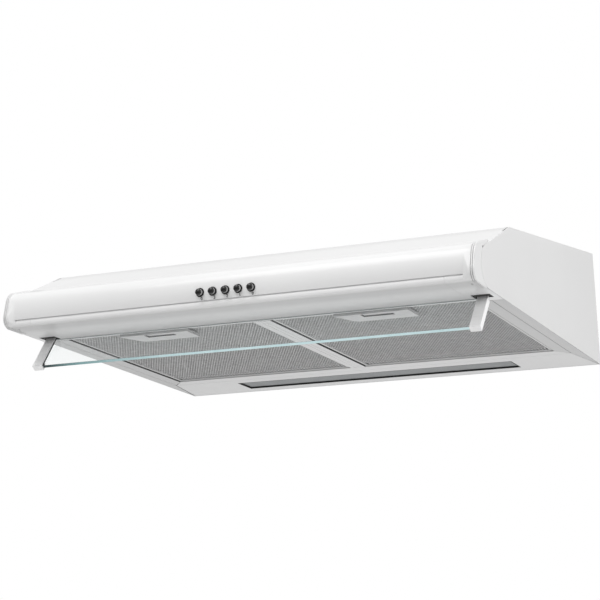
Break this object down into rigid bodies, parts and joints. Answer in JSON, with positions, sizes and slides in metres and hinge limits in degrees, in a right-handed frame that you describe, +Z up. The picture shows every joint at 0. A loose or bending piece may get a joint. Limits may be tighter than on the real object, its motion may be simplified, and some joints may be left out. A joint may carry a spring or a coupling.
{
  "type": "cooker hood",
  "caption": "White under-cupboard cooker hood with a sloping underside, mesh grease filters, strip lamp, push buttons and a tilting glass visor.",
  "frame": {"origin": "middle of the rear panel's lower edge, on the wall plane", "axes": "+X to the right seen from the front, -Y out of the wall towards the front, +Z up; the rear panel is the plane y = 0"},
  "size_m": [0.598, 0.4804, 0.163],
  "materials": {
    "body_white": "satin",
    "fascia_white": "gloss",
    "cap_white": "gloss",
    "switch_grey": "matte",
    "bezel_chrome": "polished",
    "button_black": "satin",
    "visor_glass": "clear",
    "arm_steel": "brushed",
    "rubber_black": "matte",
    "filter_aluminium": "satin",
    "mesh_aluminium": "expanded mesh",
    "latch_white": "matte",
    "lens_grey": "frosted",
    "lamp_ivory": "matte",
    "bulb_glass": "opal",
    "housing_plastic": "matte",
    "motor_steel": "satin",
    "zinc_steel": "zinc plated",
    "impeller_plastic": "matte"
  },
  "bodies": {
    "canopy": {"canopy_shell": "body_white", "side_panel_left": "body_white", "side_panel_right": "body_white", "lamp_panel": "body_white", "front_crossmember": "body_white", "side_rail_left": "body_white", "side_rail_right": "body_white", "rear_rail": "body_white", "centre_rail": "body_white", "front_fascia": "fascia_white", "lip_trim": "fascia_white", "fascia_end_cap_left": "cap_white", "fascia_end_cap_right": "cap_white", "switch_bank": "switch_grey", "button_bezels": "bezel_chrome", "lamp_lens": "lens_grey", "lens_gasket": "rubber_black", "lamp_reflector": "filter_aluminium", "lamp_holders": "lamp_ivory", "lamp_bulbs": "bulb_glass", "blower_housing_left": "housing_plastic", "blower_housing_right": "housing_plastic", "motor_left": "motor_steel", "motor_right": "motor_steel", "motor_bracket_left": "zinc_steel", "motor_bracket_right": "zinc_steel", "outlet_plenum": "housing_plastic", "duct_collar": "housing_plastic", "terminal_box": "housing_plastic", "terminal_box_lid": "housing_plastic", "cable_grommet": "rubber_black", "wiring_loom": "rubber_black", "blower_screws": "zinc_steel", "bracket_screws": "zinc_steel", "fascia_screws": "zinc_steel"},
    "visor": {"visor_glass": "visor_glass", "visor_arm_left": "arm_steel", "visor_arm_right": "arm_steel", "visor_pins": "bezel_chrome", "visor_pads": "rubber_black"},
    "filter_left": {"filter_frame_left": "filter_aluminium", "filter_mesh_left": "mesh_aluminium", "filter_handle_left": "cap_white"},
    "latch_left": {"filter_latch_left": "latch_white"},
    "wheel_left": {"impeller_left": "impeller_plastic", "motor_shaft_left": "bezel_chrome"},
    "damper_left": {"damper_flap_left": "switch_grey"},
    "filter_right": {"filter_frame_right": "filter_aluminium", "filter_mesh_right": "mesh_aluminium", "filter_handle_right": "cap_white"},
    "latch_right": {"filter_latch_right": "latch_white"},
    "wheel_right": {"impeller_right": "impeller_plastic", "motor_shaft_right": "bezel_chrome"},
    "damper_right": {"damper_flap_right": "switch_grey"},
    "button_light": {"button_light": "button_black"},
    "button_speed_1": {"button_speed_1": "button_black"},
    "button_speed_2": {"button_speed_2": "button_black"},
    "button_speed_3": {"button_speed_3": "button_black"},
    "button_off": {"button_off": "button_black"}
  },
  "joints": [
    {"name": "visor_tilt", "type": "hinge", "parent": "canopy", "child": "visor", "pos_m": [0, -0.40599, 0.07038], "axis": [-1, 0, 0], "range_deg": [0, 55]},
    {"name": "filter_swing_left", "type": "hinge", "parent": "canopy", "child": "filter_left", "pos_m": [-0.1391, -0.10578, 0.02252], "axis": [1, 0, 0], "range_deg": [0, 60]},
    {"name": "latch_slide_left", "type": "slide", "parent": "filter_left", "child": "latch_left", "axis": [0, -0.9877, 0.1564], "range_m": [0, 0.004]},
    {"name": "wheel_spin_left", "type": "hinge", "parent": "canopy", "child": "wheel_left", "pos_m": [-0.162, -0.205, 0.1], "axis": [0, 0, 1], "continuous": true},
    {"name": "damper_swing_left", "type": "hinge", "parent": "canopy", "child": "damper_left", "pos_m": [-0.003, -0.15, 0.151], "axis": [0, 1, 0], "range_deg": [0, 80]},
    {"name": "filter_swing_right", "type": "hinge", "parent": "canopy", "child": "filter_right", "pos_m": [0.1391, -0.10578, 0.02252], "axis": [1, 0, 0], "range_deg": [0, 60]},
    {"name": "latch_slide_right", "type": "slide", "parent": "filter_right", "child": "latch_right", "axis": [0, -0.9877, 0.1564], "range_m": [0, 0.004]},
    {"name": "wheel_spin_right", "type": "hinge", "parent": "canopy", "child": "wheel_right", "pos_m": [0.162, -0.205, 0.1], "axis": [0, 0, 1], "continuous": true},
    {"name": "damper_swing_right", "type": "hinge", "parent": "canopy", "child": "damper_right", "pos_m": [0.003, -0.15, 0.151], "axis": [0, -1, 0], "range_deg": [0, 80]},
    {"name": "button_light_press", "type": "slide", "parent": "canopy", "child": "button_light", "axis": [0, 0.9966, -0.0829], "range_m": [0, 0.003], "stiffness_N_per_m": 600, "springref_m": -0.001},
    {"name": "button_speed_1_press", "type": "slide", "parent": "canopy", "child": "button_speed_1", "axis": [0, 0.9966, -0.0829], "range_m": [0, 0.003], "stiffness_N_per_m": 600, "springref_m": -0.001},
    {"name": "button_speed_2_press", "type": "slide", "parent": "canopy", "child": "button_speed_2", "axis": [0, 0.9966, -0.0829], "range_m": [0, 0.003], "stiffness_N_per_m": 600, "springref_m": -0.001},
    {"name": "button_speed_3_press", "type": "slide", "parent": "canopy", "child": "button_speed_3", "axis": [0, 0.9966, -0.0829], "range_m": [0, 0.003], "stiffness_N_per_m": 600, "springref_m": -0.001},
    {"name": "button_off_press", "type": "slide", "parent": "canopy", "child": "button_off", "axis": [0, 0.9966, -0.0829], "range_m": [0, 0.003], "stiffness_N_per_m": 600, "springref_m": -0.001}
  ]
}
